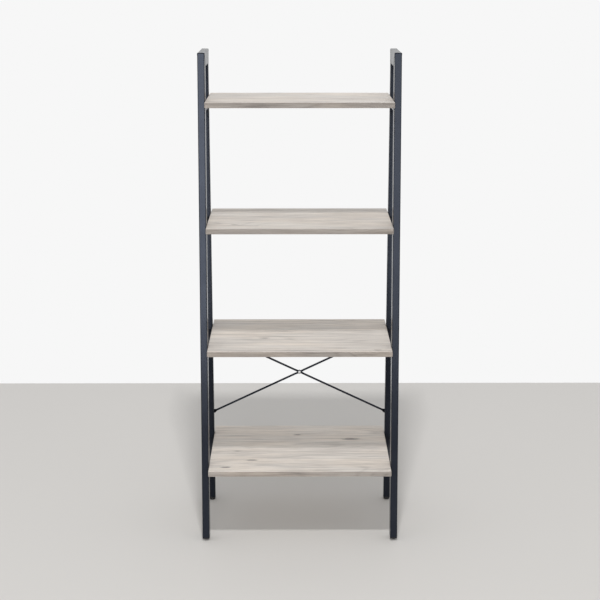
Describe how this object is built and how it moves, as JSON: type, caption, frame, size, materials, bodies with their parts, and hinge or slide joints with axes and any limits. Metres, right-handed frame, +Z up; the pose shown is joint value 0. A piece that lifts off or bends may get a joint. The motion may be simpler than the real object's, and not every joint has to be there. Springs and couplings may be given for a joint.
{
  "type": "ladder shelf",
  "caption": "Free-standing ladder shelf: steel side frames with leaning front posts carry oak-look boards that get deeper towards the floor, with a crossed brace at the back.",
  "frame": {"origin": "on the floor, under the middle of the bounding box", "axes": "+X to the right of someone in front of the shelf, +Y towards the wall behind it, +Z up"},
  "size_m": [0.56, 0.387, 1.375],
  "materials": {
    "powder_coat": "satin black powder coat with a slight blue cast",
    "oak_board": "matt pale greige oak decor on chipboard",
    "black_plastic": "matt black moulded plastic",
    "black_steel": "blackened steel",
    "zinc_steel": "bright zinc plating"
  },
  "bodies": {
    "shelf": {"left_front_post": "powder_coat", "left_rear_post": "powder_coat", "left_top_rail": "powder_coat", "left_side_rail_bottom": "powder_coat", "left_side_rail_lower": "powder_coat", "left_side_rail_upper": "powder_coat", "left_side_rail_top": "powder_coat", "left_front_plug": "black_plastic", "left_rear_plug": "black_plastic", "left_rivet_nut_low": "zinc_steel", "left_brace_bolt_low": "black_steel", "left_rivet_nut_high": "zinc_steel", "left_brace_bolt_high": "black_steel", "right_front_post": "powder_coat", "right_rear_post": "powder_coat", "right_top_rail": "powder_coat", "right_side_rail_bottom": "powder_coat", "right_side_rail_lower": "powder_coat", "right_side_rail_upper": "powder_coat", "right_side_rail_top": "powder_coat", "right_front_plug": "black_plastic", "right_rear_plug": "black_plastic", "right_rivet_nut_low": "zinc_steel", "right_brace_bolt_low": "black_steel", "right_rivet_nut_high": "zinc_steel", "right_brace_bolt_high": "black_steel", "bottom_board": "oak_board", "bottom_board_screw_left_front": "black_steel", "bottom_board_screw_left_rear": "black_steel", "bottom_board_screw_right_front": "black_steel", "bottom_board_screw_right_rear": "black_steel", "lower_board": "oak_board", "lower_board_screw_left_front": "black_steel", "lower_board_screw_left_rear": "black_steel", "lower_board_screw_right_front": "black_steel", "lower_board_screw_right_rear": "black_steel", "upper_board": "oak_board", "upper_board_screw_left_front": "black_steel", "upper_board_screw_left_rear": "black_steel", "upper_board_screw_right_front": "black_steel", "upper_board_screw_right_rear": "black_steel", "top_board": "oak_board", "top_board_screw_left_front": "black_steel", "top_board_screw_left_rear": "black_steel", "top_board_screw_right_front": "black_steel", "top_board_screw_right_rear": "black_steel", "brace_rod_front": "powder_coat", "brace_rod_rear": "powder_coat", "brace_centre_bolt": "zinc_steel", "brace_centre_nut": "zinc_steel"},
    "left_front_foot": {"left_front_foot": "black_plastic"},
    "left_rear_foot": {"left_rear_foot": "black_plastic"},
    "right_front_foot": {"right_front_foot": "black_plastic"},
    "right_rear_foot": {"right_rear_foot": "black_plastic"}
  },
  "joints": [
    {"name": "left_front_foot_height", "type": "slide", "parent": "shelf", "child": "left_front_foot", "axis": [0, 0, -1], "range_m": [0, 0.01]},
    {"name": "left_rear_foot_height", "type": "slide", "parent": "shelf", "child": "left_rear_foot", "axis": [0, 0, -1], "range_m": [0, 0.01]},
    {"name": "right_front_foot_height", "type": "slide", "parent": "shelf", "child": "right_front_foot", "axis": [0, 0, -1], "range_m": [0, 0.01]},
    {"name": "right_rear_foot_height", "type": "slide", "parent": "shelf", "child": "right_rear_foot", "axis": [0, 0, -1], "range_m": [0, 0.01]}
  ]
}
